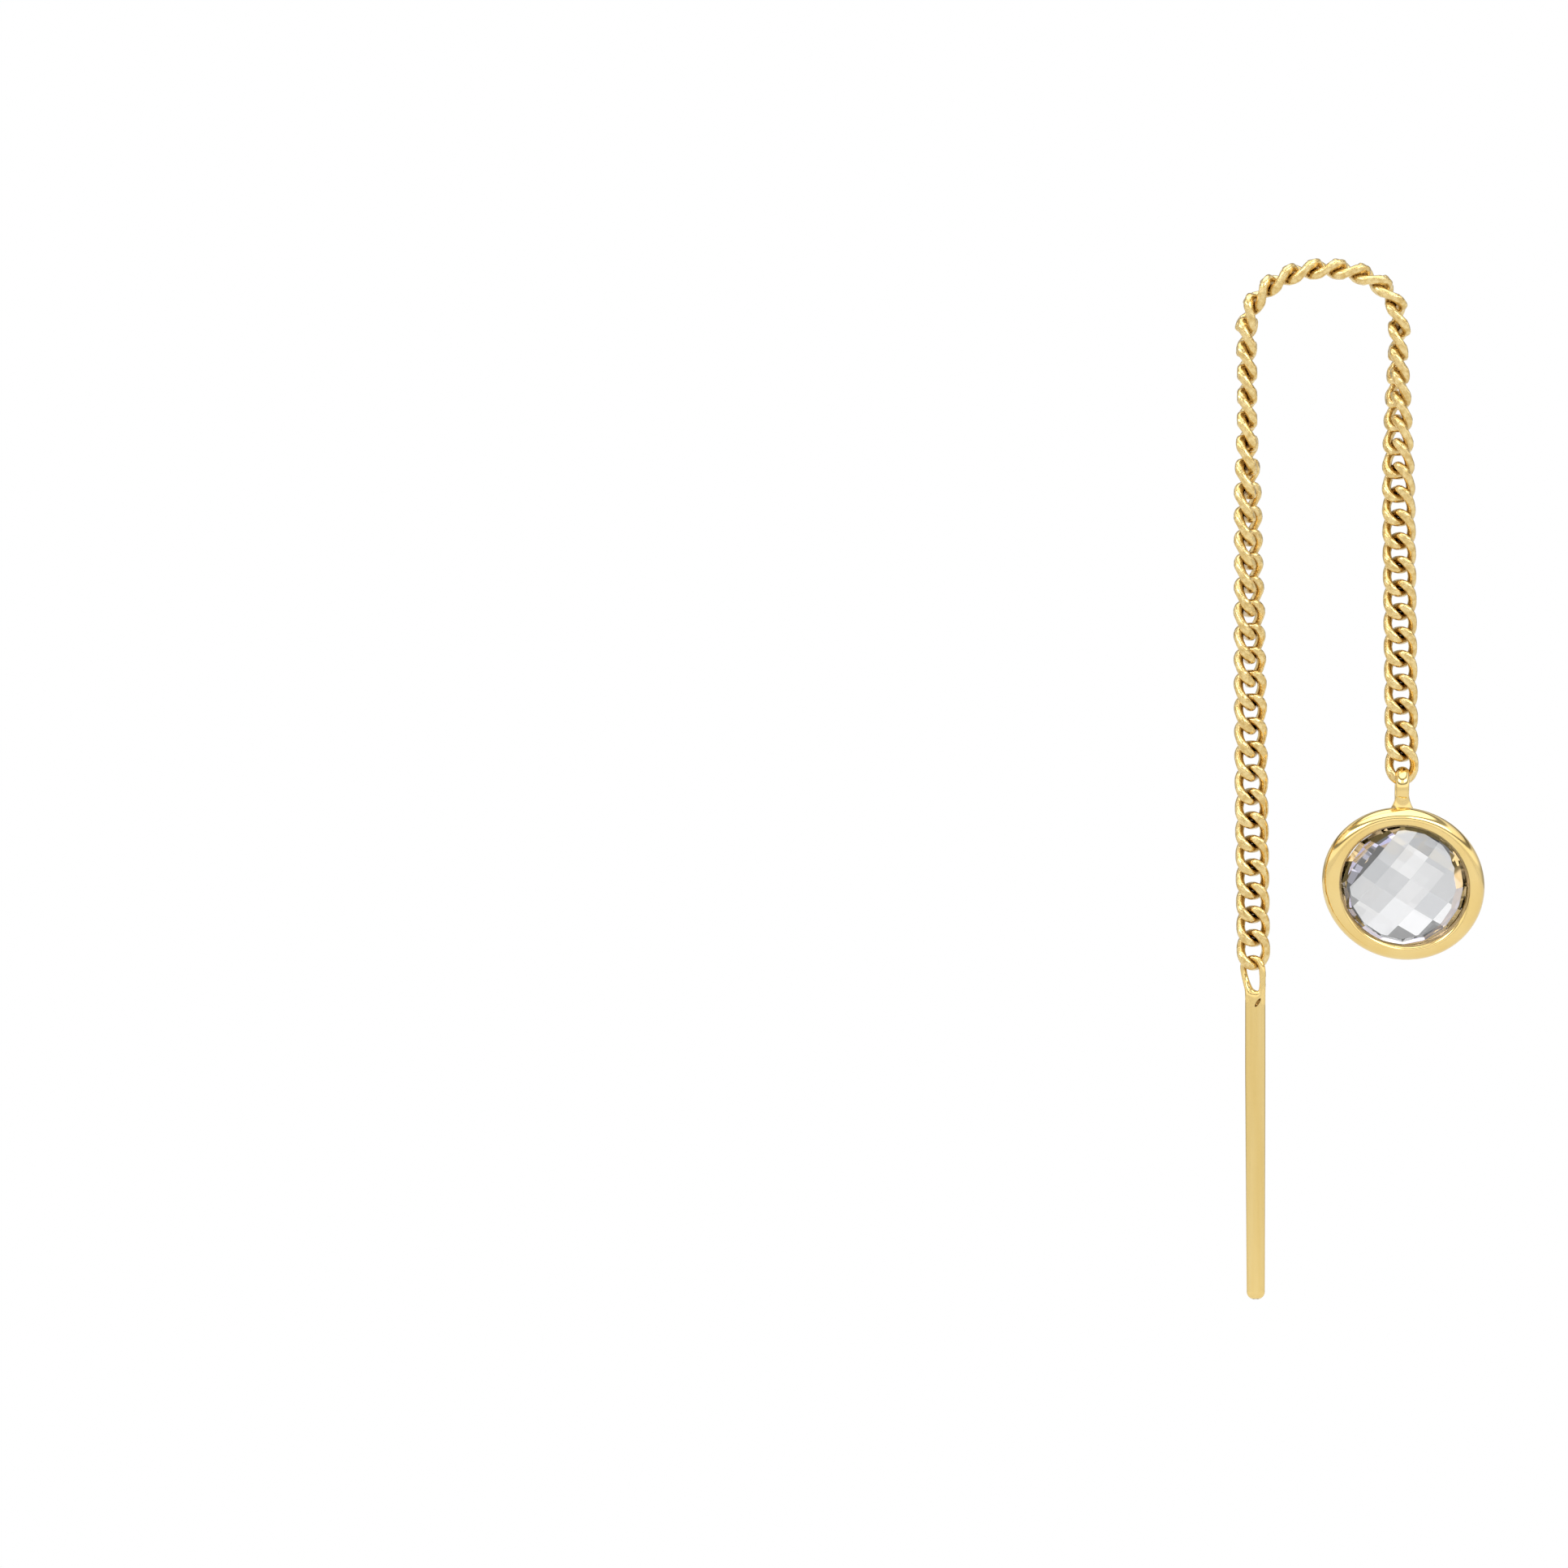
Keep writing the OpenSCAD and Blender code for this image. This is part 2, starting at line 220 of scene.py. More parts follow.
def curb_link():
    """One link round the origin: long in Z, wide in X, twisted left-handed."""
    bpy.ops.object.select_all(action="DESELECT")
    bpy.ops.curve.primitive_bezier_circle_add(radius=1, location=(0, 0, 0))
    ring = bpy.context.object
    spline = ring.data.splines[0]
    for point in spline.bezier_points:
        at, sideways = point.co.copy(), abs(point.co.x) > 0.5
        reach = LINK_FULL_SIDE if sideways else LINK_FULL_END
        along = (point.handle_right - point.handle_left).normalized()
        point.handle_left_type = point.handle_right_type = "FREE"
        point.handle_left = at - along * reach
        point.handle_right = at + along * reach
    bpy.ops.object.mode_set(mode="EDIT")
    bpy.ops.curve.select_all(action="SELECT")
    bpy.ops.curve.subdivide(number_cuts=1)
    bpy.ops.transform.resize(value=(LINK_HALF_W, LINK_HALF_L, 1))
    bpy.ops.object.mode_set(mode="OBJECT")
    spline = ring.data.splines[0]
    spline.resolution_u = LINK_STEPS
    for point in spline.bezier_points:
        at_side, at_end = abs(point.co.y) < MERGE, abs(point.co.x) < MERGE
        point.radius = WIRE_AT_SIDE if at_side else WIRE_AT_END if at_end else WIRE_AT_CORNER
    ring.data.dimensions = "3D"
    ring.data.bevel_depth = LINK_WIRE / 2
    ring.data.bevel_resolution = LINK_WIRE_STEPS
    ring.rotation_euler = (math.pi / 2, 0, 0)
    bpy.ops.object.convert(target="MESH")
    ring.scale = (1, 1, WIRE_FLATTENED)
    bpy.ops.object.transform_apply(location=True, rotation=True, scale=True)
    bpy.ops.object.modifier_add(type="SIMPLE_DEFORM")
    twist = ring.modifiers[-1]
    twist.deform_method = "TWIST"
    twist.deform_axis = "Z"
    twisted_share = (2 * LINK_HALF_L + LINK_WIRE) / (2 * LINK_HALF_L)
    twist.angle = -math.radians(LINK_TWIST) * twisted_share
    bpy.ops.object.modifier_apply(modifier=twist.name)
    bpy.ops.object.mode_set(mode="EDIT")
    bpy.ops.mesh.select_mode(type="VERT")
    for face in (-1, 1):
        bpy.ops.mesh.select_all(action="DESELECT")
        bpy.ops.object.mode_set(mode="OBJECT")
        for vertex in ring.data.vertices:
            vertex.select = vertex.co.y * face > ROLLED_FROM
        bpy.ops.object.mode_set(mode="EDIT")
        rolled_from = (0, face * ROLLED_FROM, 0)
        bpy.ops.transform.resize(value=(1, ROLLED_BY, 1), center_override=rolled_from)
        bpy.ops.mesh.select_all(action="SELECT")
        bpy.ops.mesh.bisect(
            plane_co=(0, face * GROUND_AT, 0),
            plane_no=(0, face, 0),
            use_fill=True,
            clear_outer=True,
        )
        bpy.ops.mesh.mark_sharp()
    bpy.ops.mesh.select_all(action="SELECT")
    bpy.ops.mesh.normals_make_consistent(inside=False)
    bpy.ops.object.mode_set(mode="OBJECT")
    return ring


def cad_links(node):
    """Corner points of each link of a CAD chain in millimetres, one array a link."""
    bpy.ops.object.select_all(action="DESELECT")
    copy = frame["nodes"][node].copy()
    copy.data = copy.data.copy()
    copy.data.transform(Matrix.Scale(1 / MM, 4))
    bpy.context.collection.objects.link(copy)
    copy.select_set(True)
    bpy.context.view_layer.objects.active = copy
    bpy.ops.object.mode_set(mode="EDIT")
    bpy.ops.mesh.select_all(action="SELECT")
    bpy.ops.mesh.remove_doubles(threshold=MERGE)
    bpy.ops.mesh.separate(type="LOOSE")
    bpy.ops.object.mode_set(mode="OBJECT")
    pieces = list(bpy.context.selected_objects)
    points = [np.array([v.co for v in piece.data.vertices]) for piece in pieces]
    bpy.ops.object.delete()
    return points


def in_order(links, first):
    """The links one after the other, starting with the one nearest to a point."""
    left, ordered, at = list(links), [], np.array(first)
    while left:
        nearest = min(left, key=lambda points: np.linalg.norm(points.mean(0) - at))
        at = nearest.mean(0)
        ordered.append(nearest)
        left = [points for points in left if points is not nearest]
    return ordered


def link_places(links):
    """Where each link of a row sits and how it is turned, as matrices."""
    centres = [points.mean(0) for points in links]
    places = []
    for i, points in enumerate(links):
        ahead = centres[min(i + 1, len(links) - 1)] - centres[max(i - 1, 0)]
        ahead /= np.linalg.norm(ahead)
        out = points - centres[i]
        out -= np.outer(out @ ahead, ahead)
        reach = np.linalg.norm(out, axis=1)
        widest = out[reach.argmax()]
        edge = out[(reach > LINK_EDGE_SHARE * reach.max()) & (out @ widest > 0)].mean(0)
        side = edge / np.linalg.norm(edge)
        back = np.cross(ahead, side)
        place = Matrix([[side[k], back[k], ahead[k], centres[i][k]] for k in range(3)])
        place.resize_4x4()
        places.append(place)
    return places


crown = (0, 0, 0)
drop_links = in_order(cad_links("chain_drop_side"), crown)
post_links = in_order(cad_links("chain_post_side"), crown)
places = link_places(drop_links[::-1] + post_links)
one_link = curb_link()
for name, rows in (
    ("chain_drop_side", places[: len(drop_links)]),
    ("chain_post_side", places[len(drop_links):]),
):
    bpy.ops.object.select_all(action="DESELECT")
    for place in rows:
        placed = one_link.copy()
        placed.data = one_link.data.copy()
        placed.data.transform(place)
        bpy.context.collection.objects.link(placed)
        placed.select_set(True)
        bpy.context.view_layer.objects.active = placed
    bpy.ops.object.join()
    chain = finish_piece(bpy.context.object, name + "_links", chain_gold, smooth_angle=35)
    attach(chain, "chain")
    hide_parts(name)
bpy.data.objects.remove(one_link)

# Setting
# A rub-over setting turned from gold: a domed rim pressed down on the stone's edge, which
# left it a little out of round, a wall that tapers to the open back, and a seat inside.
STONE_R = 2.5
RIM_IN_R = 2.38
RIM_W = 0.72
RIM_H = 0.6
RIM_EDGE = 0.212
CREST_SHARE = 0.36
SETTING_DEPTH = 1.75
WALL_TAPER = 17
BACK_HOLE_R = 2.28
POCKET_R = 2.54
POCKET_H = 0.09
SEAT_DEPTH = 0.32
BACK_ROUND = 0.12
BAIL_BACK = 1.29
BAIL_STAND = 0.79
BAIL_R = 0.7
BAIL_HANG = 0.26
DROP_LEAN = 14
OVAL_TURN = 28
OVAL_LONG = 1.035
OVAL_SHORT = 0.955
OVAL_RISE = 0.07
OVAL_INSIDE = 0.02
WALL_RINGS = (0.08, 0.25, 0.5, 0.75, 0.9)
SETTING_STEPS = 128
bezel_gold = gold_material(
    "bezel_gold_metal",
    colour=GOLD,
    warm=WARM_GOLD,
    # The setting's painted crevice shade is its plain gold, so no darker shade is painted on it.
    crevice_shade=GOLD,
    patches=500,
    polish=0.07,
    hairlines=0.05,
    bump=0.0003,
    drawn_out=(1, 1, 1),
)

setting_r = RIM_IN_R + RIM_W
back_r = setting_r - SETTING_DEPTH * math.tan(math.radians(WALL_TAPER))
bail_up = setting_r - BAIL_BACK * math.tan(math.radians(WALL_TAPER)) + BAIL_STAND
drop_hinge = next(joint for joint in frame["joints"] if joint["name"] == "drop_swing")
drop_turn = math.atan2(drop_hinge["axis"][1], drop_hinge["axis"][0])
DROP_PLACE = (
    Matrix.Translation(Vector(drop_hinge["pos_m"]) / MM - Vector((0, 0, BAIL_HANG)))
    @ Matrix.Rotation(drop_turn, 4, "Z")
    @ Matrix.Rotation(math.radians(DROP_LEAN), 4, "X")
    @ Matrix.Translation((0, -BAIL_BACK, -bail_up))
)


def arc(centre, radius, start, end, steps):
    """Points on an ellipse's arc, in degrees, both ends included."""
    turns = [math.radians(start + (end - start) * i / steps) for i in range(steps + 1)]
    return [
        (centre[0] + radius[0] * math.cos(turn), centre[1] + radius[1] * math.sin(turn))
        for turn in turns
    ]


def turned_on_axis(outline, steps):
    """A closed outline of (radius, height towards the front), turned about the Y axis."""
    bpy.ops.object.select_all(action="DESELECT")
    bpy.ops.mesh.primitive_plane_add(size=1, location=(0, 0, 0))
    bpy.ops.object.mode_set(mode="EDIT")
    bpy.ops.mesh.select_all(action="SELECT")
    bpy.ops.mesh.merge(type="CENTER")
    start = outline[0]
    bpy.ops.transform.translate(value=(start[0], -start[1], 0))
    for here, there in zip(outline, outline[1:] + outline[:1]):
        step = (there[0] - here[0], here[1] - there[1], 0)
        bpy.ops.mesh.extrude_region_move(TRANSFORM_OT_translate={"value": step})
    bpy.ops.mesh.select_all(action="SELECT")
    bpy.ops.mesh.remove_doubles(threshold=MERGE)
    bpy.ops.mesh.spin(steps=steps, angle=2 * math.pi, center=(0, 0, 0), axis=(0, 1, 0))
    bpy.ops.mesh.select_all(action="SELECT")
    bpy.ops.mesh.remove_doubles(threshold=MERGE)
    bpy.ops.mesh.normals_make_consistent(inside=False)
    bpy.ops.object.mode_set(mode="OBJECT")
    return bpy.context.object


rim_crest_r = RIM_IN_R + RIM_W * CREST_SHARE
setting = turned_on_axis(
    arc(
        (rim_crest_r, RIM_EDGE),
        (RIM_W * CREST_SHARE, RIM_H - RIM_EDGE),
        start=180,
        end=96,
        steps=8,
    )
    + arc((rim_crest_r, 0), (RIM_W * (1 - CREST_SHARE), RIM_H), start=90, end=0, steps=14)
    + [
        (setting_r + (back_r - setting_r) * share, -SETTING_DEPTH * share)
        for share in WALL_RINGS
    ]
    + arc(
        (back_r - BACK_ROUND, BACK_ROUND - SETTING_DEPTH),
        (BACK_ROUND, BACK_ROUND),
        start=0,
        end=-90,
        steps=4,
    )
    + [
        (BACK_HOLE_R, -SETTING_DEPTH),
        (BACK_HOLE_R, -SEAT_DEPTH),
        (POCKET_R, -POCKET_H),
        (POCKET_R, POCKET_H),
    ],
    SETTING_STEPS,
)
for vertex in setting.data.vertices:
    vertex.select = math.hypot(vertex.co.x, vertex.co.z) > rim_crest_r - OVAL_INSIDE
long_way = Matrix.Rotation(-math.radians(OVAL_TURN), 3, "Y")
bpy.ops.object.mode_set(mode="EDIT")
bpy.ops.transform.resize(
    value=(OVAL_LONG, 1, OVAL_SHORT),
    orient_type="GLOBAL",
    orient_matrix=long_way.transposed(),
    orient_matrix_type="GLOBAL",
    center_override=(0, 0, 0),
)
bpy.ops.transform.translate(value=(0, 0, OVAL_RISE))
bpy.ops.object.mode_set(mode="OBJECT")

# Bail
# A ring of flattened gold wire, soldered to the top of the setting's wall. The solder
# has run out into a foot that reaches over the rim.
BAIL_WIRE = 0.34
BAIL_BROAD = 1.5
BAIL_TURN = -5
FOOT_R = 0.85
FOOT_DEEP = 0.72
FOOT_HOLLOW = 2
FOOT_H = 0.8
FOOT_SINK = 0.3
FOOT_FORWARD = 0.66
FOOT_RINGS = 12
FOOT_STEPS = 48
BAIL_STEPS = 72
BAIL_WIRE_STEPS = 28


def solder_foot():
    """The foot that the solder makes round the bail, hollow in its outline."""
    bpy.ops.object.select_all(action="DESELECT")
    wall_r = bail_up - BAIL_STAND
    under_bail = FOOT_FORWARD * math.sin(math.radians(BAIL_TURN))
    centre = (under_bail, BAIL_BACK - FOOT_FORWARD, wall_r - FOOT_SINK)
    bpy.ops.mesh.primitive_circle_add(
        vertices=FOOT_STEPS, radius=FOOT_R, location=centre, fill_type="NGON"
    )
    bpy.ops.object.mode_set(mode="EDIT")
    bpy.ops.mesh.select_all(action="SELECT")
    bpy.ops.transform.resize(value=(1, FOOT_DEEP, 1), center_override=centre)
    narrow = BAIL_WIRE * BAIL_BROAD / 2 / FOOT_R
    width, height = 1, 0
    for i in range(1, FOOT_RINGS + 1):
        share = i / FOOT_RINGS
        next_width = narrow + (1 - narrow) * (1 - share) ** FOOT_HOLLOW
        next_height = (FOOT_H + FOOT_SINK) * share
        bpy.ops.mesh.extrude_region_move(
            TRANSFORM_OT_translate={"value": (0, 0, next_height - height)}
        )
        bpy.ops.transform.resize(value=(next_width / width, next_width / width, 1))
        width, height = next_width, next_height
    bpy.ops.mesh.select_all(action="SELECT")
    bpy.ops.mesh.normals_make_consistent(inside=False)
    bpy.ops.object.mode_set(mode="OBJECT")
    return bpy.context.object


foot = solder_foot()
bpy.ops.object.select_all(action="DESELECT")
bpy.ops.mesh.primitive_torus_add(
    major_segments=BAIL_STEPS,
    minor_segments=BAIL_WIRE_STEPS,
    major_radius=BAIL_R,
    minor_radius=BAIL_WIRE / 2,
    location=(0, BAIL_BACK, bail_up),
    rotation=(0, math.pi / 2, math.radians(BAIL_TURN)),
)
bail = bpy.context.object
bail.scale = (1, 1, BAIL_BROAD)
bpy.ops.object.select_all(action="DESELECT")
for part in (foot, bail, setting):
    part.select_set(True)
bpy.context.view_layer.objects.active = setting
bpy.ops.object.join()
setting.data.transform(DROP_PLACE)
finish_piece(setting, "setting_and_bail", bezel_gold, smooth_angle=40)
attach(setting, "drop")
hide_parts("bezel")

# Stone
# A round colourless stone, cut and polished: rows of square facets on a low dome, steeper
# at the upper left and right, a ring of steep facets down to the girdle, and behind it a
# steep belt and a wide flat back.
STONE_LIFT = 0.1
STONE_CROWN = 0.68
GIRDLE_H = 0.1
FACET_W = 0.89
INNER_SLOPE = 9
OUTER_SLOPE = 15
ROWS = range(-3, 3)
COLUMNS = range(-2, 4)
EDGE_ROW_W = 0.6
EDGE_ROW_SLOPE = 36
EDGE_COLUMN_W = 0.2
EDGE_COLUMN_SLOPE = 25
ROW_TURN = -40
COLUMN_TURN = 58
ROW_SHIFT = 0.29
CROWN_SLOPE = 42
BELT_SLOPE = 45
BELT_IN_R = 1.95
STONE_SIDES = 16
ROUGH_EXTRA = 0.2
STONE_IOR = 2.3
# Painted light: facets are tinted grey as painted shade and reflection, and the steep ring
# violet as painted fire.
STONE_CLEAR = (0.95, 0.95, 0.96, 1)
STONE_PAINTED_SHADE = (0.36, 0.375, 0.4, 1)
STONE_PAINTED_FIRE = (0.55, 0.52, 0.92, 1)
SHADE_STEP = 5.35
SHADE_START = (0.5, 0.5, 29.5)
DOME_UPRIGHT = 0.85
RING_UPRIGHT = 0.5
RING_SHADE = 0.25
LEAST_PAINTED_FIRE = 0.5


def stone_material():
    """Clear stone with a high refraction, each facet with its own painted shade and painted
    violet fire.
    """
    material = bpy.data.materials.new("clear_stone_glass")
    material.use_nodes = True
    nodes, link = material.node_tree.nodes, material.node_tree.links.new
    shader = nodes["Principled BSDF"]
    shader.inputs["Roughness"].default_value = 0
    shader.inputs["IOR"].default_value = STONE_IOR
    shader.inputs["Transmission Weight"].default_value = 1
    base = shader.inputs["Base Color"]
    base.default_value = STONE_CLEAR
    for name, colour in (("facet_painted_shade", STONE_PAINTED_SHADE), ("facet_painted_fire", STONE_PAINTED_FIRE)):
        amount, tint = nodes.new("ShaderNodeAttribute"), nodes.new("ShaderNodeMix")
        amount.attribute_name = name
        tint.data_type = "RGBA"
        tint.inputs["A"].default_value = STONE_CLEAR
        tint.inputs["B"].default_value = colour
        if base.links:
            link(base.links[0].from_socket, tint.inputs["A"])
        link(amount.outputs["Fac"], tint.inputs["Factor"])
        link(tint.outputs["Result"], base)
    return material


def cut_facet(at, normal):
    """Grinds away what lies outside a plane."""
    bpy.ops.mesh.select_all(action="SELECT")
    bpy.ops.mesh.bisect(plane_co=at, plane_no=normal, use_fill=True, clear_outer=True)


def cut_ring(radius, height, slope):
    """Cuts a ring of facets through the points at a radius and height, sloping down or up."""
    for side in range(STONE_SIDES):
        turn = 2 * math.pi * (side + 0.5) / STONE_SIDES
        out = Vector((math.cos(turn), math.sin(turn), 0))
        fall = math.radians(abs(slope))
        normal = out * math.sin(fall) + Vector((0, 0, math.copysign(math.cos(fall), slope)))
        middle = out * radius * math.cos(math.pi / STONE_SIDES)
        cut_facet(middle + Vector((0, 0, height)), normal)


def facet_fall(place, edge_w, edge_slope):
    """Where a row's facets start, how far the dome has sunk there, and how they slope."""
    step, side = abs(place), math.copysign(1, place)
    widths = (FACET_W / 2, FACET_W, edge_w)
    falls = (0, INNER_SLOPE, OUTER_SLOPE, edge_slope)
    slopes = [math.tan(math.radians(fall)) for fall in falls]
    start = sum(widths[:step])
    sunk = sum(width * slope for width, slope in zip(widths[:step], slopes))
    return start * side, sunk, slopes[step] * side


bpy.ops.object.select_all(action="DESELECT")
belt_depth = GIRDLE_H / 2 + (STONE_R - BELT_IN_R) * math.tan(math.radians(BELT_SLOPE))
crown_top = GIRDLE_H / 2 + STONE_CROWN
bpy.ops.mesh.primitive_cylinder_add(
    vertices=STONE_SIDES * 4,
    radius=STONE_R,
    depth=crown_top + belt_depth + ROUGH_EXTRA,
    location=(0, 0, (crown_top - belt_depth) / 2),
)
stone = bpy.context.object
bpy.ops.object.mode_set(mode="EDIT")
cut_ring(STONE_R, GIRDLE_H / 2, CROWN_SLOPE)
cut_ring(STONE_R, -GIRDLE_H / 2, -BELT_SLOPE)
cut_facet(Vector((0, 0, -belt_depth)), Vector((0, 0, -1)))
row_way, column_way = (
    Vector((math.cos(math.radians(turn)), math.sin(math.radians(turn))))
    for turn in (ROW_TURN, COLUMN_TURN)
)
to_grid = Matrix((row_way, column_way)).inverted()
for row in ROWS:
    row_at, row_sunk, row_slope = facet_fall(row, EDGE_ROW_W, EDGE_ROW_SLOPE)
    for column in COLUMNS:
        column_at, column_sunk, column_slope = facet_fall(
            column, EDGE_COLUMN_W, EDGE_COLUMN_SLOPE
        )
        corner = to_grid @ Vector((row_at + ROW_SHIFT, column_at))
        tilt = row_way * row_slope + column_way * column_slope
        cut_facet(
            Vector((corner.x, corner.y, crown_top - row_sunk - column_sunk)),
            Vector((tilt.x, tilt.y, 1)).normalized(),
        )
bpy.ops.mesh.select_all(action="SELECT")
bpy.ops.mesh.normals_make_consistent(inside=False)
bpy.ops.object.mode_set(mode="OBJECT")
bpy.ops.object.transform_apply(location=True, rotation=True, scale=True)
# Each facet's painted shade, and the steep ring's painted fire, laid out by cell noise.
for name in ("facet_painted_shade", "facet_painted_fire"):
    stone.data.attributes.new(name, "FLOAT", "FACE")
shades, painted_fires = (stone.data.attributes[name].data for name in ("facet_painted_shade", "facet_painted_fire"))
for face in stone.data.polygons:
    spot = Vector((face.center.x, face.center.y, 0)) * SHADE_STEP + Vector(SHADE_START)
    shade = noise.cell(spot) * 0.5 + 0.5
    if face.normal.z > DOME_UPRIGHT:
        shades[face.index].value = shade
    elif face.normal.z > RING_UPRIGHT:
        shades[face.index].value = shade * RING_SHADE
        painted_fires[face.index].value = LEAST_PAINTED_FIRE + shade * (1 - LEAST_PAINTED_FIRE)
stone.data.transform(
    DROP_PLACE @ Matrix.Rotation(math.pi / 2, 4, "X") @ Matrix.Translation((0, 0, STONE_LIFT))
)
finish_piece(stone, "faceted_stone", stone_material(), smooth_angle=1)
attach(stone, "drop")
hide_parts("stone")

# Post
# One length of gold wire: its thick straight end goes through the ear, and its top is
# drawn thin, bent over through the last link, and its end is pressed onto the post.
POST_FOOT = -12.79
TIP_ROUND = 0.28
TIP_STEPS = 8
TIP_SHARE = 0.89
TIP_ASIDE = 0.02
STRAIGHT_BELOW = -1.8
POST_STEPS = 6
POST_ROUND_STEPS = 18
# Points of the post's middle from below up, and of the two limbs': X, Y, Z, radius
POST_LINE = (
    (0.065, 0, -4.5, 0.402),
    (0.065, 0, -3.4, 0.402),
    (0.065, 0, -2.6, 0.402),
    (0.065, 0, -2, 0.402),
    (0.065, 0, -1.5, 0.402),
    (0.065, 0, -1.2, 0.4),
    (0.065, 0, -1.04, 0.385),
    (0.07, 0, -0.96, 0.33),
    (0.08, 0, -0.91, 0.22),
    (0.09, 0, -0.885, 0.06),
)
EYE_LINE = (
    (-0.06, 0, -1.7, 0.158),
    (-0.11, -0.03, -1.35, 0.208),
    (-0.14, -0.06, -1.1, 0.203),
    (-0.18, -0.03, -0.88, 0.173),
    (-0.24, 0.04, -0.7, 0.158),
    (-0.3, 0.1, -0.5, 0.143),
    (-0.37, 0.15, -0.2, 0.138),
    (-0.39, 0.16, 0.05, 0.138),
    (-0.29, 0.13, 0.23, 0.138),
    (-0.08, 0.03, 0.33, 0.143),
    (0.12, -0.07, 0.3, 0.148),
    (0.27, -0.14, 0.12, 0.148),
    (0.335, -0.18, -0.15, 0.143),
    (0.345, -0.19, -0.5, 0.133),
    (0.335, -0.17, -0.88, 0.138),
    (0.3, -0.12, -1.1, 0.168),
    (0.27, -0.06, -1.35, 0.188),
    (0.2, 0, -1.7, 0.158),
)
FLATTENED_FROM = -3.4
FLATTENED_TO = -1.2
FLATTENED = 0.74
LEVEL_DIGITS = 3
GRAIN = 0.03
# What is smoothed: from which height, to which height, and how many times
SMOOTHED = ((-5, 1, 5), (-1.8, -0.8, 20))
PLAIN_BELOW = -4
NOTCH_AT = (0.16, -0.34, -1.37)
NOTCH_SIZE = (0.065, 0.24, 0.2)
NOTCH_TURN = 33
NOTCH_STEPS = 24
post_gold = gold_material(
    "post_gold_metal",
    colour=GOLD,
    warm=WARM_GOLD,
    # Painted shade: hollows round the eye are darkened towards this colour.
    crevice_shade=PAINTED_CREVICE_SHADE,
    patches=5000,
    polish=0.1,
    hairlines=0.08,
    bump=0.0006,
    drawn_out=(1, 1, 0.03),
)


def wire_along(points):
    """A tube of round wire along points, each with its own radius, as a closed mesh."""
    bpy.ops.object.select_all(action="DESELECT")
    bpy.ops.curve.primitive_bezier_curve_add(location=(0, 0, 0))
    wire = bpy.context.object
    line = wire.data.splines[0]
    line.bezier_points.add(len(points) - len(line.bezier_points))
    line.resolution_u = POST_STEPS
    for point, (x, y, z, radius) in zip(line.bezier_points, points):
        point.co = (x, y, z)
        point.radius = radius
        handle = "VECTOR" if z < STRAIGHT_BELOW else "AUTO"
        point.handle_left_type = point.handle_right_type = handle
    wire.data.dimensions = "3D"
    wire.data.bevel_depth = 1
    wire.data.bevel_resolution = POST_ROUND_STEPS
    wire.data.use_fill_caps = True
    bpy.ops.object.convert(target="MESH")
    bpy.ops.object.mode_set(mode="EDIT")
    bpy.ops.mesh.select_all(action="SELECT")
    bpy.ops.mesh.remove_doubles(threshold=MERGE)
    bpy.ops.mesh.normals_make_consistent(inside=False)
    bpy.ops.object.mode_set(mode="OBJECT")
    return wire


def combine(piece, tool, operation):
    """Joins another solid to a piece, or cuts it out."""
    bpy.ops.object.select_all(action="DESELECT")
    piece.select_set(True)
    bpy.context.view_layer.objects.active = piece
    bpy.ops.object.modifier_add(type="BOOLEAN")
    work = piece.modifiers[-1]
    work.object = tool
    work.operation = operation
    bpy.ops.object.modifier_apply(modifier=work.name)
    bpy.data.objects.remove(tool)


post = wire_along(POST_LINE)
heights = [vertex.co.z for vertex in post.data.vertices]
levels = sorted({round(z, LEVEL_DIGITS) for z in heights if FLATTENED_FROM < z < FLATTENED_TO})
flattened_each = FLATTENED ** (1 / len(levels))
for level in levels:
    for vertex in post.data.vertices:
        vertex.select = round(vertex.co.z, LEVEL_DIGITS) >= level
    bpy.ops.object.mode_set(mode="EDIT")
    bpy.ops.transform.resize(value=(1, flattened_each, 1), center_override=(0, 0, 0))
    bpy.ops.object.mode_set(mode="OBJECT")
combine(post, wire_along(EYE_LINE), "UNION")
bpy.ops.object.modifier_add(type="REMESH")
fused = post.modifiers[-1]
fused.mode = "VOXEL"
fused.voxel_size = GRAIN
bpy.ops.object.modifier_apply(modifier=fused.name)
for low, high, rounds in SMOOTHED:
    for vertex in post.data.vertices:
        vertex.select = low < vertex.co.z < high
    bpy.ops.object.mode_set(mode="EDIT")
    bpy.ops.mesh.vertices_smooth(factor=0.5, repeat=rounds)
    bpy.ops.object.mode_set(mode="OBJECT")
bpy.ops.object.mode_set(mode="EDIT")
bpy.ops.mesh.select_all(action="SELECT")
bpy.ops.mesh.bisect(plane_co=(0, 0, PLAIN_BELOW), plane_no=(0, 0, 1), clear_inner=True)
bpy.ops.mesh.extrude_region_move(
    TRANSFORM_OT_translate={"value": (TIP_ASIDE, 0, POST_FOOT - PLAIN_BELOW)}
)
bpy.ops.transform.resize(value=(TIP_SHARE, TIP_SHARE, 1))
bpy.ops.mesh.edge_face_add()
bpy.ops.mesh.bevel(offset=TIP_ROUND, segments=TIP_STEPS, affect="EDGES")
bpy.ops.mesh.select_all(action="SELECT")
bpy.ops.mesh.normals_make_consistent(inside=False)
bpy.ops.object.mode_set(mode="OBJECT")
bpy.ops.object.select_all(action="DESELECT")
bpy.ops.mesh.primitive_uv_sphere_add(
    segments=NOTCH_STEPS, ring_count=NOTCH_STEPS // 2, radius=1, location=(0, 0, 0)
)
notch = bpy.context.object
notch.scale = NOTCH_SIZE
notch.rotation_euler = (0, math.radians(NOTCH_TURN), 0)
notch.location = NOTCH_AT
combine(post, notch, "DIFFERENCE")
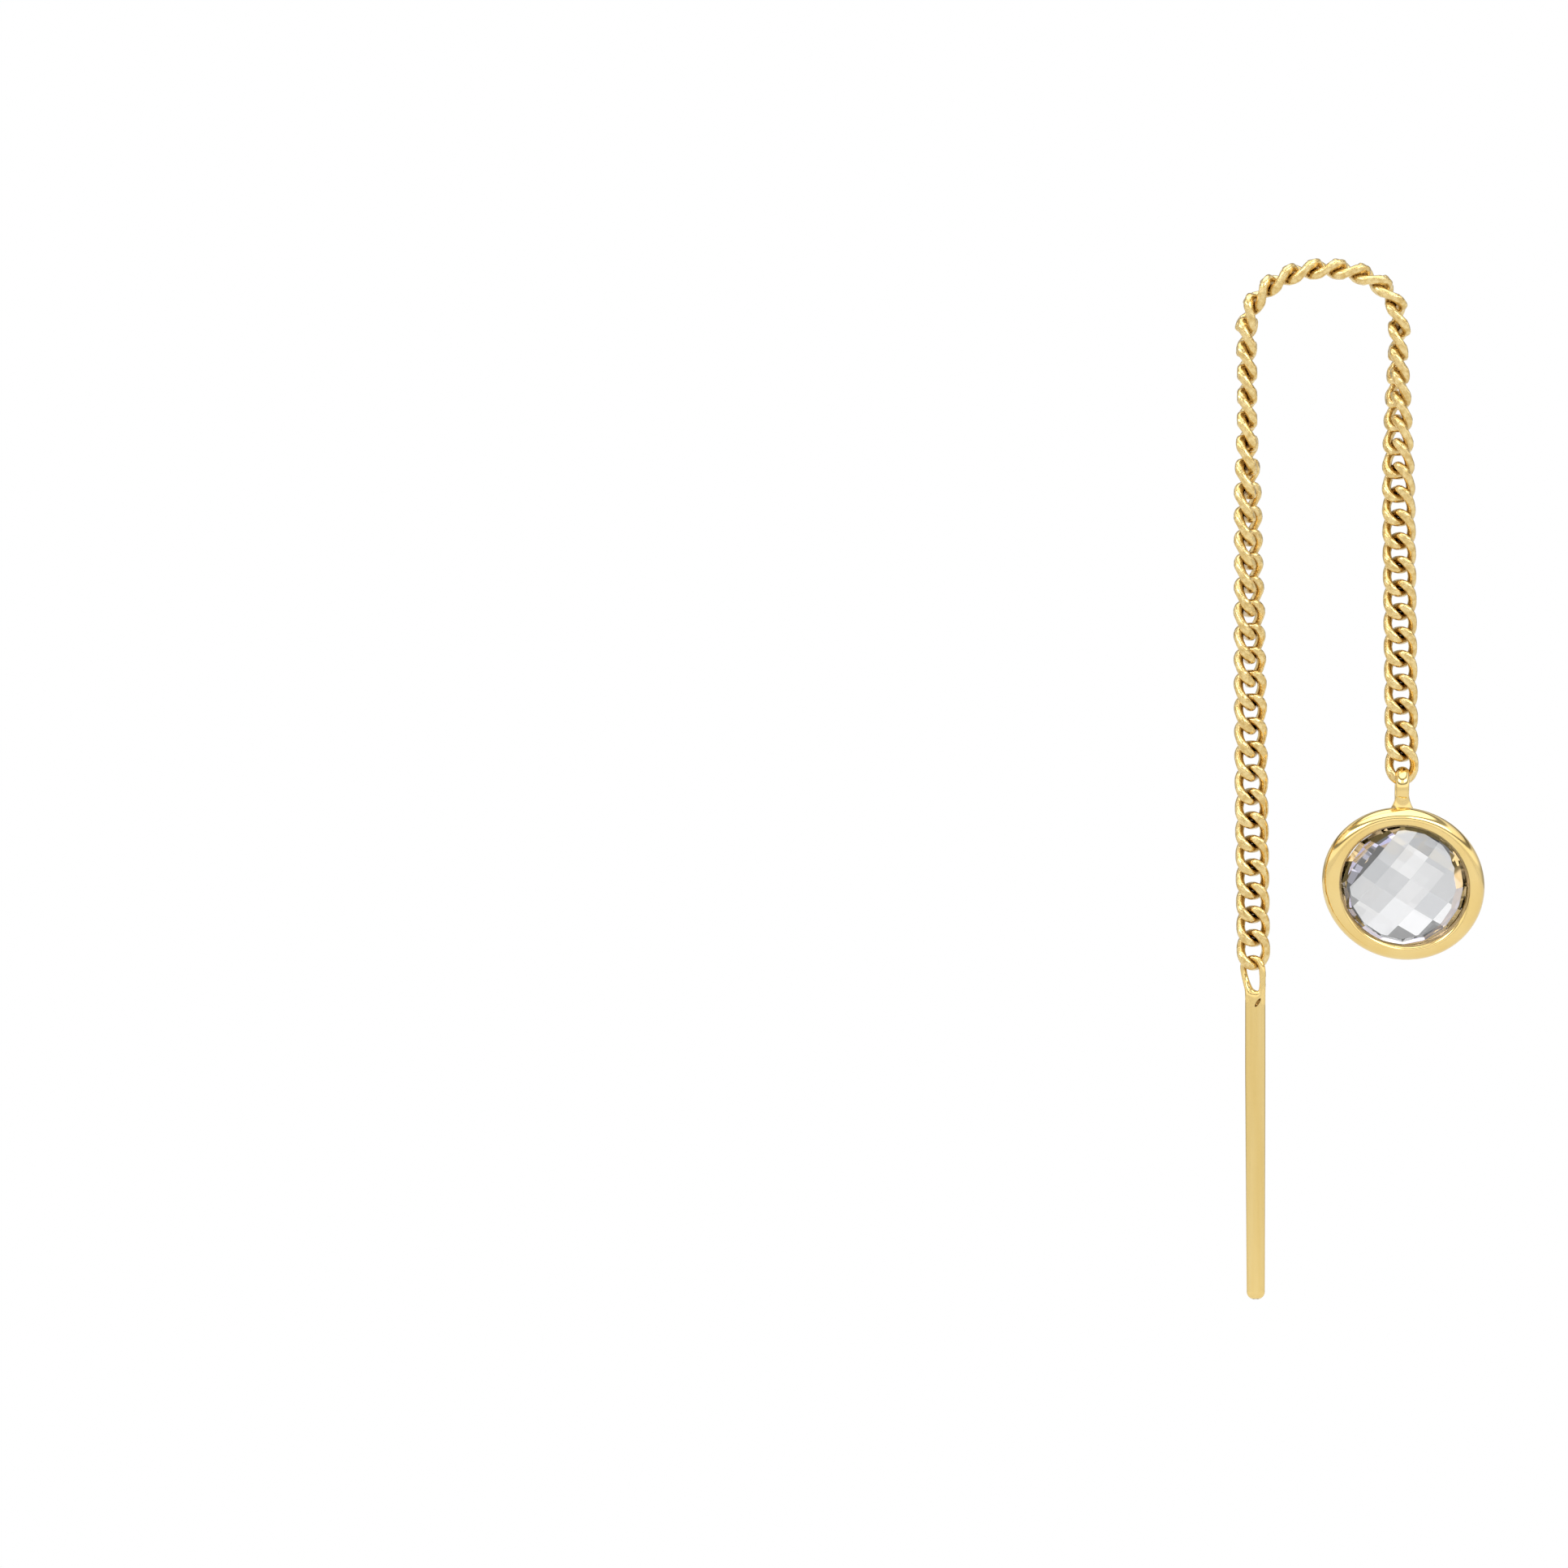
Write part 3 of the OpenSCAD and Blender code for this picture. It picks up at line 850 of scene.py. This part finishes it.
post_hinge = next(joint for joint in frame["joints"] if joint["name"] == "post_swing")
post.data.transform(Matrix.Translation(Vector(post_hinge["pos_m"]) / MM))
finish_piece(post, "post_and_eye", post_gold, smooth_angle=40)
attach(post, "post")
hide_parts("post")

# Floor
# A plain pale table top, well below the hanging earring.
FLOOR_R = 1200
FLOOR_BELOW = 75
FLOOR_STEPS = 128
FLOOR_ROUGHNESS = 0.8
FLOOR_MOTTLING = 40
FLOOR_GREY = (0.66, 0.66, 0.66, 1)
FLOOR_PALE = (0.7, 0.7, 0.69, 1)

bpy.ops.object.select_all(action="DESELECT")
bpy.ops.mesh.primitive_circle_add(
    vertices=FLOOR_STEPS,
    radius=FLOOR_R * MM,
    location=(0, 0, -FLOOR_BELOW * MM),
    fill_type="NGON",
)
floor = bpy.context.object
floor_material = bpy.data.materials.new("pale_floor")
floor_material.use_nodes = True
nodes, link = floor_material.node_tree.nodes, floor_material.node_tree.links.new
nodes["Principled BSDF"].inputs["Roughness"].default_value = FLOOR_ROUGHNESS
place, grain = nodes.new("ShaderNodeTexCoord"), nodes.new("ShaderNodeTexNoise")
grain.inputs["Scale"].default_value = FLOOR_MOTTLING
paper = nodes.new("ShaderNodeMix")
paper.data_type = "RGBA"
paper.inputs["A"].default_value = FLOOR_GREY
paper.inputs["B"].default_value = FLOOR_PALE
link(place.outputs["Object"], grain.inputs["Vector"])
link(grain.outputs["Fac"], paper.inputs["Factor"])
link(paper.outputs["Result"], nodes["Principled BSDF"].inputs["Base Color"])
floor.data.materials.append(floor_material)
floor.name = "pale_floor"

# Studio light
# A white tent with a dark gap round the white card behind the earring and a narrow one
# overhead, which draw the dark lines on polished gold, and a soft box at each shoulder.
# The tent's brightness by direction: from front (0) to back (1), and from below (0) up (1)
TENT_BY_DEPTH = (
    (0, 0.95), (0.55, 0.95), (0.68, 0.84), (0.82, 0.58), (0.94, 0.36), (0.97, 0.85), (1, 0.85),
)
TENT_BY_HEIGHT = (
    (0, 0.9), (0.55, 0.93), (0.58, 1.35), (0.66, 1.35), (0.685, 0.3), (0.72, 0.3), (0.74, 1.2),
    (0.84, 1.5), (0.86, 0.4), (0.9, 0.4), (0.925, 2.4), (1, 2.4),
)
SOFT_BOX_TURNS = (-47, 47)
SOFT_BOX_RISE = 36
SOFT_BOX_AWAY = 400
SOFT_BOX_W = 300
SOFT_BOX_H = 80
SOFT_BOX_GLOW = 3.6

world = bpy.data.worlds.new("white_tent")
bpy.context.scene.world = world
world.use_nodes = True
nodes, link = world.node_tree.nodes, world.node_tree.links.new
place, split = nodes.new("ShaderNodeTexCoord"), nodes.new("ShaderNodeSeparateXYZ")
link(place.outputs["Generated"], split.inputs["Vector"])
glow = nodes["Background"]
shades = []
for axis, stops in (("Y", TENT_BY_DEPTH), ("Z", TENT_BY_HEIGHT)):
    share, ramp = nodes.new("ShaderNodeMapRange"), nodes.new("ShaderNodeValToRGB")
    share.inputs["From Min"].default_value = -1
    link(split.outputs[axis], share.inputs["Value"])
    link(share.outputs["Result"], ramp.inputs["Fac"])
    stop_list = ramp.color_ramp.elements
    while len(stop_list) < len(stops):
        stop_list.new(1)
    for stop, (position, value) in zip(stop_list, stops):
        stop.position, stop.color = position, (value, value, value, 1)
    shades.append(ramp)
both = nodes.new("ShaderNodeMix")
both.data_type, both.blend_type = "RGBA", "MULTIPLY"
both.inputs["Factor"].default_value = 1
link(shades[0].outputs["Color"], both.inputs["A"])
link(shades[1].outputs["Color"], both.inputs["B"])
link(both.outputs["Result"], glow.inputs["Color"])
seen, paths = nodes.new("ShaderNodeBackground"), nodes.new("ShaderNodeLightPath")
pick = nodes.new("ShaderNodeMixShader")
seen.inputs["Color"].default_value = (1, 1, 1, 1)
link(paths.outputs["Is Camera Ray"], pick.inputs["Fac"])
link(glow.outputs["Background"], pick.inputs[1])
link(seen.outputs["Background"], pick.inputs[2])
link(pick.outputs["Shader"], nodes["World Output"].inputs["Surface"])
raised = Matrix.Rotation(-math.radians(SOFT_BOX_RISE), 3, "X")
for turn in SOFT_BOX_TURNS:
    aim = Matrix.Rotation(math.radians(turn), 3, "Z") @ raised
    bpy.ops.object.light_add(type="AREA", location=aim @ Vector((0, -SOFT_BOX_AWAY * MM, 0)))
    soft_box = bpy.context.object
    soft_box.rotation_euler = (aim @ Matrix.Rotation(math.pi / 2, 3, "X")).to_euler()
    lamp = soft_box.data
    lamp.shape = "RECTANGLE"
    lamp.size, lamp.size_y = SOFT_BOX_W * MM, SOFT_BOX_H * MM
    lamp.energy = SOFT_BOX_GLOW * math.pi * lamp.size * lamp.size_y
    soft_box.visible_camera = False
bpy.context.scene.view_settings.view_transform = "Standard"

# Camera
# It looks straight along +Y from far off, with the earring at the right of the frame.
PHOTO_PX = 1932
PX_PER_MM = 32
CROWN_PX = (1632, 332)
CAMERA_AWAY = 1500
CAMERA_SEES = (10, 10000)
SENSOR_W = 36

frame_w = PHOTO_PX / PX_PER_MM
bpy.ops.object.camera_add(
    location=(
        (PHOTO_PX / 2 - CROWN_PX[0]) / PX_PER_MM * MM,
        -CAMERA_AWAY * MM,
        (CROWN_PX[1] - PHOTO_PX / 2) / PX_PER_MM * MM,
    ),
    rotation=(math.pi / 2, 0, 0),
)
camera = bpy.context.object
camera.data.sensor_width = SENSOR_W
camera.data.lens = SENSOR_W * CAMERA_AWAY / frame_w
camera.data.clip_start, camera.data.clip_end = (distance * MM for distance in CAMERA_SEES)
bpy.context.scene.camera = camera
